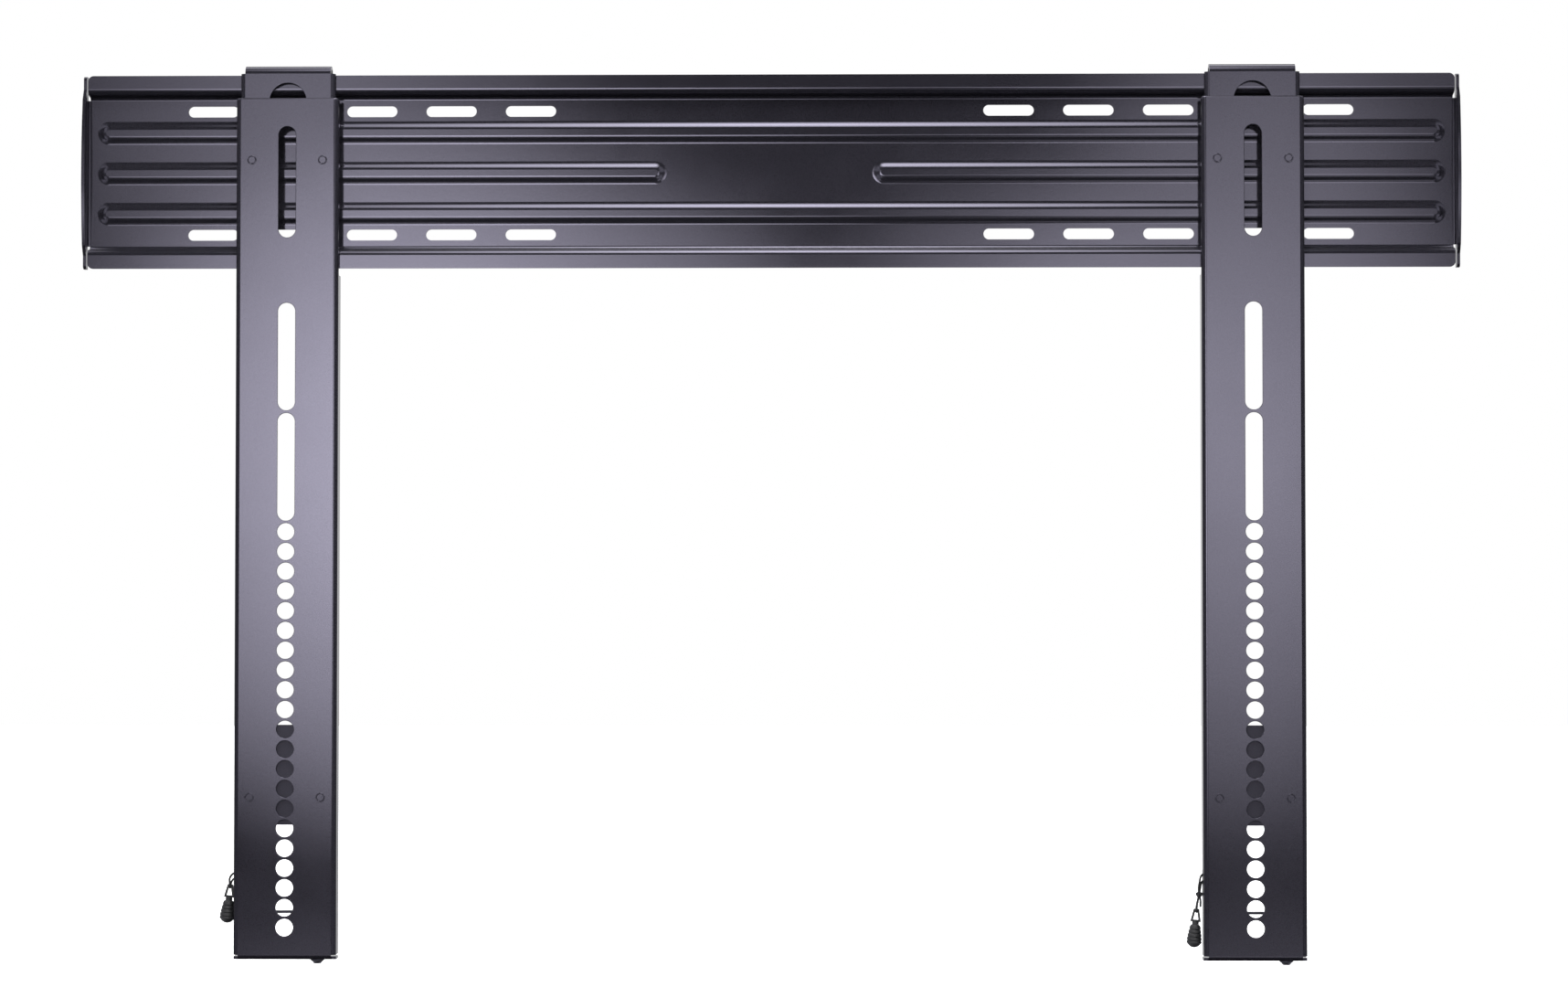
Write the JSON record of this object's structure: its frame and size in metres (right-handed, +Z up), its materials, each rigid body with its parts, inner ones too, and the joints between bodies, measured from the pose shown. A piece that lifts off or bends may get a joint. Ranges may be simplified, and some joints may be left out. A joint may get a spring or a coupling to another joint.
{
  "type": "fixed tv wall bracket",
  "caption": "Slim black steel tv wall bracket: a beaded wall plate with two slotted arms hooked over it, each with a spring latch released by a pull cord.",
  "frame": {"origin": "middle of the wall plate's back face", "axes": "+X along the plate to the viewer's right, +Y into the wall, +Z up; the front faces -Y"},
  "size_m": [0.8756, 0.0163, 0.5699],
  "materials": {
    "powder_coat": "semi-gloss fine powder coat",
    "latch_coat": "satin black",
    "spring_steel": "drawn wire",
    "black_screw": "black zinc",
    "zinc_nut": "zinc plated",
    "cord_braid": "braided",
    "pull_plastic": "moulded"
  },
  "bodies": {
    "plate": {"wall_plate": "powder_coat"},
    "left_arm": {"left_arm_channel": "powder_coat", "left_hook_bracket": "powder_coat", "left_hook_rivets": "powder_coat", "left_standoff_bracket": "powder_coat", "left_standoff_rivets": "powder_coat", "left_latch_guide": "powder_coat", "left_latch_spring": "spring_steel", "left_guide_screw": "black_screw", "left_weld_nut": "zinc_nut", "left_stop_nut": "zinc_nut"},
    "left_latch": {"left_latch_bar": "latch_coat", "left_pull_cord": "cord_braid", "left_cord_pull": "pull_plastic"},
    "right_arm": {"right_arm_channel": "powder_coat", "right_hook_bracket": "powder_coat", "right_hook_rivets": "powder_coat", "right_standoff_bracket": "powder_coat", "right_standoff_rivets": "powder_coat", "right_latch_guide": "powder_coat", "right_latch_spring": "spring_steel", "right_guide_screw": "black_screw", "right_weld_nut": "zinc_nut", "right_stop_nut": "zinc_nut"},
    "right_latch": {"right_latch_bar": "latch_coat", "right_pull_cord": "cord_braid", "right_cord_pull": "pull_plastic"}
  },
  "joints": [
    {"name": "left_arm_slide", "type": "slide", "parent": "plate", "child": "left_arm", "axis": [1, 0, 0], "range_m": [-0.094, 0.2562]},
    {"name": "left_latch_slide", "type": "slide", "parent": "left_arm", "child": "left_latch", "axis": [0, 0, 1], "range_m": [-0.009, 0], "stiffness_N_per_m": 450, "springref_m": 0.016, "deforming": ["left_latch_spring"]},
    {"name": "right_arm_slide", "type": "slide", "parent": "plate", "child": "right_arm", "axis": [1, 0, 0], "range_m": [-0.2562, 0.094]},
    {"name": "right_latch_slide", "type": "slide", "parent": "right_arm", "child": "right_latch", "axis": [0, 0, 1], "range_m": [-0.009, 0], "stiffness_N_per_m": 450, "springref_m": 0.016, "deforming": ["right_latch_spring"]}
  ]
}
